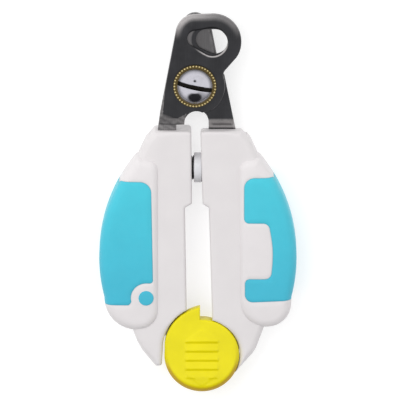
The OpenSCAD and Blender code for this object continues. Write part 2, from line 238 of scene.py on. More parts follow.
def relief(lines, keep, top, bottom, marks=None, grid=0):
    """A closed solid over the part of the plane that keep() chooses, between two height fields.
    Closed lines become mesh edges, so creases and rims are crisp."""
    flat, triangles = mesh_plane(lines, keep, grid)
    count = len(flat)
    heights = np.concatenate([top(flat), bottom(flat)])
    verts = np.column_stack([np.tile(flat, (2, 1)), heights])
    directed = {(int(t[i]), int(t[(i + 1) % 3])) for t in triangles for i in range(3)}
    walls = [(a + count, b + count, b, a) for a, b in sorted(directed) if (b, a) not in directed]
    faces = [tuple(map(int, t)) for t in triangles]
    faces += [tuple(int(i) + count for i in t[::-1]) for t in triangles] + walls
    values = {name: np.tile(rule(flat), 2) for name, rule in (marks or {}).items()}
    return verts, faces, values


def flat_at(height):
    """A flat height field."""
    return lambda p: np.full(len(p), height)


def within(outline):
    """keep() for everything that an outline holds."""
    return lambda p: inside(p, outline)


def rings(outline, amounts):
    """The outline moved inwards by each amount."""
    return [inset(outline, amount) for amount in amounts]


def lathe(profile, place, count=96):
    """Revolves (height, radius) points round an axis; place() puts the axis in space."""
    turns = np.radians(np.arange(count) * 360 / count)
    verts = [place(h, r * math.cos(a), r * math.sin(a)) for a in turns for h, r in profile]
    size = len(profile)
    faces = []
    for i in range(count):
        for j in range(size):
            a, b = i * size, (i + 1) % count * size
            k = (j + 1) % size
            faces.append((a + j, a + k, b + k, b + j))
    return np.array(verts), faces, {}


def upright(centre):
    """Puts a lathe's axis upright through a point of the plane."""
    return lambda h, u, v: (centre[0] + u, centre[1] + v, h)


def joined(parts):
    """The vertices, faces and marks of several solids as one set; a mark that a solid lacks is 0."""
    verts, faces, base = [], [], 0
    names = sorted({key for part in parts for key in part[2]})
    marks = {key: [] for key in names}
    for part_verts, part_faces, part_marks in parts:
        verts.append(part_verts)
        faces += [tuple(i + base for i in face) for face in part_faces]
        base += len(part_verts)
        for key in names:
            marks[key].append(part_marks.get(key, np.zeros(len(part_verts))))
    return np.concatenate(verts), faces, {key: np.concatenate(marks[key]) for key in names}


def clean(mesh):
    """Drops slivers and turns every face outwards."""
    bm = bmesh.new()
    bm.from_mesh(mesh)
    bmesh.ops.dissolve_degenerate(bm, dist=1e-7, edges=bm.edges[:])
    bmesh.ops.recalc_face_normals(bm, faces=bm.faces[:])
    bm.to_mesh(mesh)
    bm.free()


def piece(name, parts, material, body, nodes, smooth=32):
    """One Blender object from one or more solids, riding on a body."""
    verts, faces, marks = joined(parts)
    placed = (verts + [SHIFT[0], SHIFT[1], 0]) * MM
    mesh = bpy.data.meshes.new(name)
    mesh.from_pydata(placed.tolist(), [], faces)
    for key, values in marks.items():
        layer = mesh.attributes.new(key, "FLOAT", "POINT")
        layer.data.foreach_set("value", values.astype(np.float32))
    clean(mesh)
    mesh.shade_smooth()
    mesh.set_sharp_from_angle(angle=math.radians(smooth))
    mesh.materials.append(material)
    made = bpy.data.objects.new(name, mesh)
    bpy.context.scene.collection.objects.link(made)
    if body:
        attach(made, body)
    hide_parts(*nodes)
    return made


# ---- materials -----------------------------------------------------------------------------
class Look:
    """A procedural material while it is being put together."""

    def __init__(self, name, roughness, metallic=0.0):
        self.material = bpy.data.materials.new(name)
        self.material.use_nodes = True
        self.tree = self.material.node_tree
        self.shader = self.tree.nodes["Principled BSDF"]
        self.set("Roughness", roughness)
        self.set("Metallic", metallic)
        self.place = self.tree.nodes.new("ShaderNodeTexCoord").outputs["Object"]

    def feed(self, value, socket):
        """Links a node's output to a socket, or sets the socket to a plain value."""
        if isinstance(value, bpy.types.NodeSocket):
            self.tree.links.new(value, socket)
        else:
            socket.default_value = value

    def set(self, name, value):
        self.feed(value, self.shader.inputs[name])

    def noise(self, size, stretch=(1, 1, 1), detail=3.0):
        """Noise with features of about that many millimetres, 0 to 1."""
        mapping = self.tree.nodes.new("ShaderNodeMapping")
        mapping.inputs["Scale"].default_value = [1 / s for s in stretch]
        self.feed(self.place, mapping.inputs["Vector"])
        texture = self.tree.nodes.new("ShaderNodeTexNoise")
        texture.inputs["Scale"].default_value = 1 / (size * MM)
        texture.inputs["Detail"].default_value = detail
        self.feed(mapping.outputs["Vector"], texture.inputs["Vector"])
        return texture.outputs["Fac"]

    def span(self, value, low, high, first=0.0, last=1.0):
        """Maps low..high to first..last, clamped."""
        node = self.tree.nodes.new("ShaderNodeMapRange")
        for socket, number in zip(node.inputs, (value, low, high, first, last)):
            self.feed(number, socket)
        return node.outputs["Result"]

    def mix(self, share, low, high):
        """Mixes two colours."""
        node = self.tree.nodes.new("ShaderNodeMix")
        node.data_type = "RGBA"
        self.feed(share, node.inputs[0])
        for colour, socket in ((low, node.inputs[6]), (high, node.inputs[7])):
            self.feed(colour if isinstance(colour, bpy.types.NodeSocket) else (*colour, 1.0), socket)
        return node.outputs[2]

    def mark(self, name):
        """A vertex mark of the mesh, 0 where the mesh has none."""
        node = self.tree.nodes.new("ShaderNodeAttribute")
        node.attribute_name = name
        return node.outputs["Fac"]

    def along(self, axis):
        """Object coordinate along X, Y or Z, in metres."""
        node = self.tree.nodes.new("ShaderNodeSeparateXYZ")
        self.feed(self.place, node.inputs[0])
        return node.outputs[axis]

    def bump(self, height, travel, strength=1.0):
        node = self.tree.nodes.new("ShaderNodeBump")
        node.inputs["Strength"].default_value = strength
        node.inputs["Distance"].default_value = travel * MM
        self.feed(height, node.inputs["Height"])
        self.feed(node.outputs["Normal"], self.shader.inputs["Normal"])


def plastic(name, colour, shade, roughness, grain):
    """Moulded plastic: a little cloudy, with a fine spark-eroded grain."""
    look = Look(name, roughness)
    look.set("Base Color", look.mix(look.span(look.noise(9.0), 0.35, 0.65), shade, colour))
    look.set("Roughness", look.span(look.noise(1.4), 0.3, 0.7, roughness - 0.06, roughness + 0.06))
    look.bump(look.noise(0.16, detail=2.0), grain)
    return look.material


# heights where the rubber's painted shade runs from its shaded colour, at the first, to its lit colour,
# at the second
RUBBER_SHADED_Y = -35
RUBBER_LIT_Y = 8


def rubber(name, top, low, sheen):
    """Soft-touch rubber with a fine matt grain, darkened towards its lower end by painted shade."""
    look = Look(name, 0.58)
    shaded_end, lit_end = ((y + SHIFT[1]) * MM for y in (RUBBER_SHADED_Y, RUBBER_LIT_Y))
    # painted shade: the colour darkens towards the lower end
    base = look.mix(look.span(look.along("Y"), shaded_end, lit_end), low, top)
    cloud = look.span(look.noise(6.0, detail=5.0), 0.3, 0.7, 0.0, 0.16)
    base = look.mix(cloud, base, [0.8 * c for c in low])
    # painted shade in the groove where white rubber meets teal
    look.set("Base Color", look.mix(look.mark("seam"), base, [0.6 * c for c in low]))
    look.set("Roughness", look.span(look.noise(2.0), 0.3, 0.7, 0.5, 0.64))
    look.set("Sheen Weight", sheen)
    look.bump(look.noise(0.22, detail=2.0), 0.012)
    return look.material


def blade_steel(name, dark, light, along):
    """Blackened blade steel: satin with fine drawn lines, bright where it has been ground and where a
    highlight is painted on.
    """
    look = Look(name, 0.36, 0.85)
    lines = look.noise(0.22, stretch=along, detail=4.0)
    cloud = look.noise(5.0, detail=4.0)
    plate = look.mix(look.span(cloud, 0.35, 0.7), dark, [1.35 * c for c in dark])
    plate = look.mix(look.span(lines, 0.45, 0.75, 0.0, 0.25), plate, [2.2 * c for c in dark])
    # colour of bare ground steel, which also serves for the painted highlights
    ground = look.mix(look.span(lines, 0.3, 0.7), [0.72 * c for c in light], light)
    # brightens the plate where it is ground and where a highlight is painted
    look.set("Base Color", look.mix(look.mark("ground"), plate, ground))
    look.set("Roughness", look.span(lines, 0.3, 0.7, 0.3, 0.46))
    look.bump(lines, 0.006, 0.6)
    return look.material


def bright_metal(name, colour, roughness, wear=0.25, shade_tint=(0.012, 0.011, 0.010)):
    """Plated or polished metal with faint handling scratches, and painted shade where it is marked."""
    look = Look(name, roughness, 1.0)
    scratches = look.noise(0.15, stretch=(9, 1, 1), detail=5.0)
    dirt = look.span(look.noise(1.6, detail=6.0), 0.5, 0.8, 0.0, wear)
    base = look.mix(dirt, colour, [0.45 * c for c in colour])
    # painted shade: the mark darkens the colour towards the shade tint
    look.set("Base Color", look.mix(look.mark("dirt"), base, shade_tint))
    look.set("Roughness", look.span(scratches, 0.4, 0.8, roughness, roughness + 0.14))
    look.bump(scratches, 0.002, 0.5)
    return look.material


def yellow_plastic(name):
    """Bright yellow ABS: clean on its face, with painted shade in a deeper, warmer yellow on its walls
    and chamfer where they are marked.
    """
    look = Look(name, 0.33)
    dull, bright, shade_amber = (0.76, 0.665, 0.002), (0.81, 0.71, 0.003), (0.50, 0.32, 0.003)
    face = look.mix(look.span(look.noise(7.0), 0.35, 0.65), dull, bright)
    # painted shade where the mesh is marked
    look.set("Base Color", look.mix(look.mark("edge"), face, shade_amber))
    look.set("Specular IOR Level", 0.3)
    look.set("Roughness", look.span(look.noise(1.2), 0.3, 0.7, 0.28, 0.4))
    look.set("Coat Weight", 0.05)
    look.bump(look.noise(0.2, detail=2.0), 0.006)
    return look.material


WHITE = plastic("moulded_white_plastic", (0.71, 0.682, 0.687), (0.69, 0.662, 0.668), 0.42, 0.010)
CUP_PLASTIC = plastic("glossy_white_plastic", (0.66, 0.66, 0.68), (0.6, 0.6, 0.63), 0.25, 0.004)
# each rubber's first colour is its lit upper end; the second is the painted shade at its lower end
GRIP_WHITE = rubber("soft_white_rubber", (0.75, 0.72, 0.727), (0.72, 0.69, 0.698), 0.1)
TEAL = rubber("soft_teal_rubber", (0.056, 0.565, 0.69), (0.044, 0.45, 0.61), 0.1)
# the second colour is bare ground steel, also used for the blades' painted highlights
PLATE_STEEL = blade_steel("blackened_blade_steel", (0.034, 0.034, 0.037), (0.62, 0.59, 0.59), (1, 40, 1))
CHROME = bright_metal("polished_chrome", (0.60, 0.59, 0.65), 0.07)
ZINC = bright_metal("zinc_plated_steel", (0.56, 0.56, 0.58), 0.28, 0.4)
# brass's last colour is the dark brown of its painted shade
BRASS = bright_metal("brass", (0.85, 0.70, 0.34), 0.24, 0.3, (0.05, 0.03, 0.008))
SPRING_STEEL = bright_metal("black_spring_steel", (0.06, 0.06, 0.065), 0.25, 0.5)
YELLOW = yellow_plastic("yellow_lock_plastic")


# ---- blades --------------------------------------------------------------------------------
ARCH = np.array([-0.45, 25.9])
ARCH_R = 3.95

# ring blade: HOLE and POCKET are two circles each, as centre, radius, centre, radius
RING_BORE_R = 2.6
RING = np.array([5.0, 53.1])
RING_R = 9.25
HOLE = ((2.9, 53.7), 3.6, (5.6, 53.1), 4.15)
POCKET = ((-0.7, 54.2), 2.75, (4.8, 53.1), 4.75)
POCKET_DEEP = 1.0
POCKET_LIP = 0.25
HEAD_BAND = 2.2
HEAD_FALL = 1.5
LEG_DROP = 0.8
LEG_BEND = 25.2
BEND_RUN = 2.2
LEG_X = -3.9
CREASE_TOP = 38.6
CREASES = [
    # both ends, and the slope of the facet beyond
    (np.array([-11.4, 29.2]), np.array([-6.8, 27.6]), 0.21),
    (np.array([-10.6, CREASE_TOP]), np.array([-11.4, 29.2]), 0.36),
    (np.array([-6.8, 27.6]), np.array([-4.3, 28.8]), 0.25),
]

# cutter: its edge runs from the heel to the tip
CUTTER_BORE_R = 2.55
HEEL = np.array([7.0, 44.2])
TIP = np.array([4.0, 59.6])
GRIND_Y = 46
GRIND_WIDE = 1.1
GRIND_DEEP = 0.75
CUTTER_DROP = 0.6
# place and size of a painted dark reflection inside the painted highlight across the right leg's bend
LENS = np.array([7.9, 25.1])
LENS_SIZE = np.array([3.9, 0.55])


def around(a, radius_a, b, radius_b):
    """The outline round two circles and between them, the first one on the left."""
    along = np.subtract(b, a)
    heading = math.degrees(math.atan2(along[1], along[0]))
    turn = math.degrees(math.acos((radius_a - radius_b) / np.linalg.norm(along)))
    return np.concatenate([arc(b, radius_b, heading - turn, heading + turn, 48),
                           arc(a, radius_a, heading + turn, heading + 360 - turn, 32)])


def circle(centre, radius):
    """A whole circle as a closed outline."""
    return arc(centre, radius, 0, 352.5, 47)


def from_pivot(p):
    """Distance from the pivot's axis."""
    return np.linalg.norm(p - PIVOT, axis=1)


def ring_outline():
    """Head, the creased left leg, the arch between the legs and the waist under the screw."""
    return rounded([
        *sharp(arc(RING, RING_R, -34, 96, 48)),
        (-4.0, 62.1, 6), (-6.9, 58.4, 7), (-12.4, 29.3, 0), (-13.75, LEG_Y - 4, 0),
        (-7.1, LEG_Y - 4, 0), (-7.1, LEG_BEND, 0), (-4.43, LEG_BEND, 0),
        *sharp(arc(ARCH, ARCH_R, 175, 62, 20)),
        *sharp(arc(PIVOT, 9.9, -58, 12, 24)),
        (8.05, 42.6, 2.5)])


def leg_fall(p):
    """How far the creased facets on the left leg have fallen below the plate."""
    fall = np.zeros(len(p))
    for a, b, slope in CREASES:
        along = (b - a) / np.linalg.norm(b - a)
        beyond = (p - a) @ np.array([along[1], -along[0]])
        fall = np.maximum(fall, slope * beyond)
    on_leg = (p[:, 0] < LEG_X) & (p[:, 1] < CREASE_TOP)
    fall = np.where(on_leg, np.clip(fall, 0, LEG_DROP), 0)
    return np.where(p[:, 1] < LEG_BEND, LEG_DROP, fall)


def ring_top(p, outline, pocket):
    """Flat plate, a fully rounded head, creases on the leg and a pocket round the hole."""
    d = depth(p, outline)
    head = step(51.0, 56.5, p[:, 1])
    height = RING_TOP - round_edge(d, 0.28, 0.25) * (1 - head)
    height = height - round_edge(d, HEAD_BAND, HEAD_FALL) * head
    height = height - leg_fall(p)
    down = depth(p, pocket)
    height = height - POCKET_LIP * (1 - step(0.0, 0.4, -down)) * (down < 0.001)
    return np.where(down > 0.01, RING_TOP - POCKET_DEEP, height)


def ring_bottom(p):
    """Underside, which steps down with the leg's bend."""
    bend = 1 - np.clip((p[:, 1] - LEG_BEND) / BEND_RUN, 0, 1)
    return RING_TOP - RING_THICK - LEG_DROP * bend


def leg_highlights(p):
    """Painted highlights: bright streaks on the leg's facets and below the bend, with a line of painted
    shade at the bend.
    """
    # painted highlights on the facets and below the bend
    streaks = 0.1 * np.sin(2.1 * (p[:, 0] + 1.5 * p[:, 1]))
    facets = 0.30 + 0.14 * step(-10, -5, p[:, 0]) + streaks
    highlight = np.where(leg_fall(p) > 0.01, facets, 0)
    highlight = np.where(p[:, 1] < LEG_BEND + 0.08, 0.34 + streaks, highlight)
    # painted shade: a dark line at the bend
    return np.where(np.abs(p[:, 1] - LEG_BEND - 0.25) < 0.12, 0, highlight)


def ring_grind_and_highlight(p, outline, hole, pocket):
    """Where the blade is bright: ground steel in the band round its head and on the pocket's floor, with
    a painted highlight that makes the head's band brightest at the left, painted highlights along the
    pocket's lower-right rim and on the leg, and a faint lighter band along every edge; the floor is left
    dark near the hole as painted shade.
    """
    d = depth(p, outline)
    from_pocket = depth(p, pocket)
    # the ground band round the head, with a painted highlight that makes it brightest at the left
    on_head = step(53.5, 60.0, p[:, 1]) * (1 - step(0.5, HEAD_BAND + 0.2, d))
    head = on_head * (0.95 - 0.6 * step(-6, 10, p[:, 0]))
    # painted highlight along the pocket's lower-right rim
    lower_right = step(-1.0, 3.0, HOLE[2][1] - p[:, 1]) * step(-1.5, 2.5, p[:, 0])
    rim = (1 - step(0.2, 0.5, -from_pocket)) * lower_right
    # a faint lighter band along every edge
    edge_band = 0.2 * (1 - step(0.0, 0.3, d))
    # the pocket's floor is bright, but dark within about 1.2 mm of the hole, as painted shade round the
    # hole's edge
    floor = 0.26 * step(1.2, 1.9, -depth(p, hole))
    plate = np.maximum.reduce([head, rim, leg_highlights(p), edge_band])
    return np.where(from_pocket > 0.01, floor, plate)


def ring_plate():
    """Front blade, which holds the nail hole."""
    outline = dense(ring_outline(), FINE)
    hole, pocket = around(*HOLE), around(*POCKET)

    def keep(p):
        return inside(p, outline) & ~inside(p, hole) & (from_pivot(p) > RING_BORE_R)

    bend = [np.array([(-20, y), (0, y), (0, y - 0.06), (-20, y - 0.06)])
            for y in (LEG_BEND + 0.06, LEG_BEND + 0.19, LEG_BEND + 0.38, LEG_BEND + BEND_RUN)]
    creases = [np.stack([a, b, b + 1e-3]) for a, b, _ in CREASES]
    shore = rings(outline, (0.07, 0.16, 0.3, 0.55, 0.9, 1.3, 1.75, HEAD_BAND))
    rims = rings(pocket, (-0.5, -0.25, -0.1, 0.03)) + rings(hole, (-1.2, -1.7))
    lines = [outline, *shore, hole, pocket, *rims, circle(PIVOT, RING_BORE_R), *bend, *creases]
    marks = {"ground": lambda p: ring_grind_and_highlight(p, outline, hole, pocket)}
    solid = relief(lines, keep, lambda p: ring_top(p, outline, pocket), ring_bottom, marks, grid=1.1)
    piece("ring_plate", [solid], PLATE_STEEL, "left_half", ["ring_blade"], 24)


def cutter_outline():
    """Knife, round boss under the screw and the right leg."""
    return np.concatenate([
        [TIP],
        arc([-0.9, 58.4], 4.0, 35, 165, 20),
        [[-6.3, 52], [-8.6, 43]],
        arc(PIVOT, 8.3, 150, 268, 30),
        arc(ARCH, ARCH_R, 88, 0, 20),
        [[3.55, LEG_Y - 5], [12.35, LEG_Y - 5], [12.35, LEG_Y], [8.7, 41.4], HEEL]])


def from_edge(p):
    """Distance from the line of the cutting edge."""
    edge = (TIP - HEEL) / np.linalg.norm(TIP - HEEL)
    return (p - HEEL) @ np.array([-edge[1], edge[0]])


def cutter_drop(p):
    """How far the right leg is bent down below the knife."""
    return CUTTER_DROP * (1 - step(24.6, 26.6, p[:, 1]))


def cutter_top(p, outline):
    """Flat plate with a ground knife and a soft edge."""
    slope = GRIND_DEEP * np.clip(1 - from_edge(p) / GRIND_WIDE, 0, 1)
    grind = np.where(p[:, 1] > GRIND_Y, slope, 0)
    return CUTTER_TOP - grind - cutter_drop(p) - round_edge(depth(p, outline), 0.2, 0.18)


def cutter_bottom(p):
    return CUTTER_TOP - CUTTER_THICK - cutter_drop(p)


def cutter_grind_and_highlight(p):
    """Where the blade is bright: the ground knife, and a painted highlight across the leg's bend with a
    painted dark reflection, the lens, in it.
    """
    knife = np.where(p[:, 1] > 44, 0.17 + 0.12 * (1 - step(0.8, 1.2, from_edge(p))), 0)
    # painted highlight across the leg's bend, with a painted dark reflection in it
    band = step(23.5, 24.1, p[:, 1]) * (1 - step(26.1, 27.0, p[:, 1]))
    lens = np.hypot(*((p - LENS) / LENS_SIZE).T)
    return np.maximum(knife, 0.66 * band * (0.2 + 0.8 * step(0.75, 1.1, lens)))


def cutter_plate():
    """Rear blade, whose straight edge shows in the hole."""
    outline = dense(cutter_outline(), FINE)

    def keep(p):
        return inside(p, outline) & (from_pivot(p) > CUTTER_BORE_R)

    lines = [outline, *rings(outline, (0.07, 0.2)), circle(PIVOT, CUTTER_BORE_R)]
    marks = {"ground": cutter_grind_and_highlight}
    solid = relief(lines, keep, lambda p: cutter_top(p, outline), cutter_bottom, marks, grid=0.7)
    piece("cutter_plate", [solid], PLATE_STEEL, "right_half", ["cutter_blade"], 24)


# ---- pivot ---------------------------------------------------------------------------------
HEAD_R = 5.75
HEAD_RISE = 2.3
HEAD_Z = RING_TOP + 0.95
SHANK_R = 2.5
SLOT_TURN = math.radians(-12.5)
SLOT_W = 1.45
SLOT_DEPTH = 1.65
SLOT_REACH = 7
SLOT_ALONG = np.array([math.cos(SLOT_TURN), math.sin(SLOT_TURN)])
SLOT_ACROSS = np.array([-SLOT_ALONG[1], SLOT_ALONG[0]])
BEADS = 42
BEAD_R = 0.36
BEAD_RING_R = 6.66
WASHER_R = 7.08
WASHER_SEAT_R = HEAD_R + 0.1


def off_slot(p):
    """Distance from the slot's middle line."""
    return np.abs((p - PIVOT) @ SLOT_ACROSS)


def slot_strip(half):
    """Outline of a strip along the slot, of that half width."""
    corners = [(-SLOT_REACH, -half), (SLOT_REACH, -half), (SLOT_REACH, half), (-SLOT_REACH, half)]
    return np.array([PIVOT + u * SLOT_ALONG + v * SLOT_ACROSS for u, v in corners])


def head_top(p):
    """Dome of the screw head, with a flat-bottomed slot that has a soft lip."""
    ball = (HEAD_R ** 2 + HEAD_RISE ** 2) / (2 * HEAD_RISE)
    radius = from_pivot(p)
    dome = HEAD_Z + HEAD_RISE - ball + np.sqrt(ball ** 2 - np.minimum(radius, HEAD_R) ** 2)
    lip = 0.12 * (1 - step(0, 0.16, off_slot(p) - SLOT_W / 2))
    floor = HEAD_Z + HEAD_RISE - SLOT_DEPTH
    carved = np.where(off_slot(p) < SLOT_W / 2 - 0.01, np.minimum(dome, floor), dome - lip)
    return carved - round_edge(HEAD_R - radius, 0.2, 0.15)


def head_shade(p):
    """Painted shade in the slot and a painted dark reflection round the head's rim."""
    rim_dark_reflection = 0.6 * (1 - step(0.1, 1.1, HEAD_R - from_pivot(p)))
    return np.where(off_slot(p) < SLOT_W / 2 - 0.01, 1.0, rim_dark_reflection)


def slotted_screw():
    """Domed head with a driver slot, on its shank."""
    rim = arc(PIVOT, HEAD_R, 0, 356.25, 95)
    lines = [rim] + [circle(PIVOT, r) for r in (0.6, 1.4, 2.2, 3, 3.8, 4.5, 5.1, 5.4, 5.6, 5.7)]
    lines += [slot_strip(SLOT_W / 2 + extra) for extra in (-0.04, 0, 0.08, 0.18)]
    # the mark is painted shade in the slot and a painted dark reflection at the rim
    head = relief(lines, within(rim), head_top, flat_at(HEAD_Z), {"dirt": head_shade})
    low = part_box("pivot_screw")[0].z / MM
    profile = [(low, 0.01), (low, SHANK_R - 0.3), (low + 0.3, SHANK_R), (HEAD_Z, SHANK_R), (HEAD_Z, 0.01)]
    shank = lathe(profile, upright(PIVOT))
    piece("slotted_screw", [head, shank], CHROME, "right_half", ["pivot_screw"], 28)


def bead(turn, high):
    """One bead of the washer, with painted shade below its crown."""
    bm = bmesh.new()
    bmesh.ops.create_icosphere(bm, subdivisions=2, radius=BEAD_R)
    x = PIVOT[0] + BEAD_RING_R * math.cos(turn)
    y = PIVOT[1] + BEAD_RING_R * math.sin(turn)
    verts = np.array([v.co[:] for v in bm.verts]) + [x, y, high - BEAD_R]
    faces = [tuple(v.index for v in face.verts) for face in bm.faces]
    bm.free()
    # painted shade below the bead's crown
    return verts, faces, {"dirt": 0.9 * (1 - step(high - 0.5, high - 0.2, verts[:, 2]))}


def beaded_washer():
    """Flat brass washer with a ring of beads that stands round the screw head."""
    low, high = (value.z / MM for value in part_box("pivot_washer"))
    profile = [(low, RING_BORE_R), (low, WASHER_R), (high - 0.4, WASHER_R),
               (high - 0.4, WASHER_SEAT_R + 0.05), (high - 0.2, WASHER_SEAT_R), (high - 0.2, RING_BORE_R)]
    verts, faces, _ = lathe(profile, upright(PIVOT))
    # painted shade: the whole flat washer is darkened, as it lies in the shadow of the screw head
    flat = (verts, faces, {"dirt": np.full(len(verts), 0.92)})
    beads = [bead(2 * math.pi * i / BEADS, high) for i in range(BEADS)]
    piece("beaded_washer", [flat, *beads], BRASS, "right_half", ["pivot_washer"], 50)


# ---- handles -------------------------------------------------------------------------------
RECESS_REACH = 12.8
RECESS_CLOSE = 0.25
SCREW_PLACES = {"right": [(7.4, 19.2), (10.4, 1.5)], "left": [(-10.6, 17.5), (-10.6, 2.0)]}
SCREW_WELL_R = 2.3
SCREW_WELL_DEEP = 2.0
JOINT_DEEP = 0.14
JOINT_WIDE = 0.2


def hug_lock(outline):
    """Closes the running gap between the handle's recess and the lock disc to a hairline."""
    away = outline - LOCK
    reach = np.linalg.norm(away, axis=1)[:, None]
    return np.where(reach < RECESS_REACH, LOCK + away * (reach - RECESS_CLOSE) / reach, outline)


def shell_fall(p, outline):
    """Height lost at the shell's rounded outer edge, which is rounder away from the middle."""
    width = 0.9 + 1.5 * step(8, 15, np.abs(p[:, 0]))
    return round_edge(distance(p, outline), width, width)


def joint_fall(p, outline):
    """The chamfer that makes the parting line between two shells."""
    return JOINT_DEEP * (1 - step(0, JOINT_WIDE, distance(p, outline)))


def shell(side, front, body, nodes):
    """Half of a handle moulding: rounded outer edges, a fine parting line and screw wells behind."""
    low, high = (value.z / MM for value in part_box(nodes[0]))
    outline = dense(hug_lock(node_outline(nodes[0], high if front else low)), COARSE)
    wells = [arc(place, SCREW_WELL_R, 0, 345, 23) for place in SCREW_PLACES[side]]

    def front_top(p):
        return high - shell_fall(p, outline)

    def front_bottom(p):
        return low + joint_fall(p, outline)

    def rear_top(p):
        return high - joint_fall(p, outline)

    def rear_bottom(p):
        sunk = np.max([depth(p, well) for well in wells], 0) > 0.01
        return np.where(sunk, low + SCREW_WELL_DEEP, low + shell_fall(p, outline))

    lines = [outline, *rings(outline, (0.06, 0.2, 0.45, 0.8, 1.2, 1.7, 2.2))]
    if front:
        solid = relief(lines, within(outline), front_top, front_bottom, grid=4)
    else:
        lines += [loop for well in wells for loop in (well, inset(well, 0.03))]
        solid = relief(lines, within(outline), rear_top, rear_bottom, grid=4)
    name = f"{side}_{'front' if front else 'rear'}_shell"
    piece(name, [solid], WHITE, body, nodes)


# ---- grips ---------------------------------------------------------------------------------
DOT = np.array([-17.1, -32.7])
DOT_R = 2.5
LEFT_ZONE = rounded([
    (-14.8, -27.7, 1), (-15.4, 6.6, 3.8), (-25.3, 6.6, 0.8), (-26.9, 4.6, 0), (-40, 4.3, 0),
    (-40, -35.1, 0), (-22.6, -35.1, 1), *sharp(arc(DOT, 5.0, 194, 90, 20))])
RIGHT_UPPER = [(40, 5.6, 0), (26.2, 5.9, 0), (24.6, 7.9, 0.8), (15.2, 7.9, 3.5)]
RIGHT_ZONE = rounded([*RIGHT_UPPER, (15.2, -34.2, 2.5), (40, -33.2, 0)])
RIGHT_FRONT_ZONE = rounded([
    *RIGHT_UPPER, (15.2, -7.4, 1.6), (23.3, -7.4, 2.2), (25.0, -17.0, 38),
    (24.0, -26.3, 2.2), (15.5, -26.3, 1.6), (15.5, -34.2, 2.5), (40, -33.2, 0)])
GRIP_REACH = 32.5
BOW_R = 53
BOW_Y = -19.8
TEAL_PROUD = 0.05
GROOVE_DEEP = 0.2
GROOVE_WIDE = 0.3
GRIP_MIDDLE = GRIP_TOP / 2


def grip_outline(side, inner, end, lean, inner_r, outer_r):
    """A grip's outline on one side (-1 left, 1 right): inner edge, lower end, the inner edge's lean
    and the radii of the lower corners. Its outer edge is a bow."""
    bow = []
    for y in np.linspace(11.5, -33, 28):
        x = GRIP_REACH - BOW_R + math.sqrt(BOW_R ** 2 - (y - BOW_Y) ** 2)
        bow.append((side * x, y, 0))
    return rounded([
        (side * inner, 14.1, 4), (side * 20.1, 14.4, 2), *bow,
        (side * 30.6, end, outer_r), (side * (inner + lean), end, inner_r)])


def pillow(d):
    """Height lost from the crowned face of a grip at distance d from its outline."""
    return round_edge(d, 2.8, 3.2) + 0.35 * (1 - np.clip(d / 9, 0, 1)) ** 2


def grip_solid(outline, zone, keep, low, high, proud):
    """Part of a grip: crowned faces, with a fine groove where white rubber meets teal."""
    def groove(p):
        return 1 - step(0.0, GROOVE_WIDE, distance(p, zone))

    def fall(p):
        return pillow(distance(p, outline)) + GROOVE_DEEP * groove(p) - proud

    def crowned_top(p):
        return high - fall(p)

    def crowned_bottom(p):
        return low + np.maximum(fall(p), 0)

    top = crowned_top if high > GRIP_MIDDLE else flat_at(high)
    bottom = crowned_bottom if low < GRIP_MIDDLE else flat_at(low)
    lines = [outline, *rings(outline, (0.04, 0.14, 0.35, 0.7, 1.2, 1.9, 2.8))]
    lines += [zone, *rings(zone, (0.15, 0.32, -0.15, -0.32))]
    # the mark is painted shade in the groove where white rubber meets teal
    return relief(lines, keep, top, bottom, {"seam": lambda p: 0.4 * groove(p)}, grid=1.6)


def grip_halves(outline, zone, low, high):
    """The white part outside a zone and the teal part inside it, between two levels."""
    def teal(p):
        return inside(p, outline) & inside(p, zone)

    def white(p):
        return inside(p, outline) & ~inside(p, zone)

    return (grip_solid(outline, zone, white, low, high, 0),
            grip_solid(outline, zone, teal, low, high, TEAL_PROUD))


def left_grip():
    """White pillow with one teal zone that is the same on both faces."""
    outline = dense(grip_outline(-1, inner=12.5, end=-44.1, lean=0, inner_r=7.0, outer_r=10.7), COARSE)
    pad, inlay = grip_halves(outline, dense(LEFT_ZONE, COARSE), 0, GRIP_TOP)
    piece("left_grip_rubber", [pad], GRIP_WHITE, "left_half", ["left_grip_pad"])
    piece("left_teal_inlay", [inlay], TEAL, "left_half", ["left_grip_inlay"])


def right_grip():
    """White pillow whose teal zone has a white bay in it on the front."""
    outline = dense(grip_outline(1, inner=12.8, end=-43.1, lean=0.7, inner_r=8.8, outer_r=7.9), COARSE)
    front_pad, front_inlay = grip_halves(outline, dense(RIGHT_FRONT_ZONE, COARSE), GRIP_MIDDLE, GRIP_TOP)
    rear_pad, rear_inlay = grip_halves(outline, dense(RIGHT_ZONE, COARSE), 0, GRIP_MIDDLE)
    pad, inlay = [front_pad, rear_pad], [front_inlay, rear_inlay]
    piece("right_grip_rubber", pad, GRIP_WHITE, "right_half", ["right_grip_pad"])
    piece("right_teal_inlay", inlay, TEAL, "right_half", ["right_grip_inlay"])


def dot_inlay():
    """Small round button set in the left grip."""
    rim = circle(DOT, DOT_R)
    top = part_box("left_grip_dot")[1].z / MM

    def height(p):
        return top + TEAL_PROUD - round_edge(distance(p, rim), 0.5, 0.3)

    lines = [rim] + [circle(DOT, r) for r in (2.46, 2.35, 2.2, 2.0)]
    solid = relief(lines, within(rim), height, flat_at(top - 0.9))
    piece("dot_inlay", [solid], TEAL, "left_half", ["left_grip_dot"])


# ---- return spring -------------------------------------------------------------------------
SPRING_Y = 10.0
SPRING_Z = 7.0
COIL_R = 3.6
WIRE_R = 0.45
TURNS = 6.5
STEPS_PER_TURN = 36
WIRE_SIDES = 12
END_CLOSING = 0.055


def crosswise(h, u, v):
    """Puts a lathe's axis across the clipper, along the spring."""
    return (h, SPRING_Y + u, SPRING_Z + v)


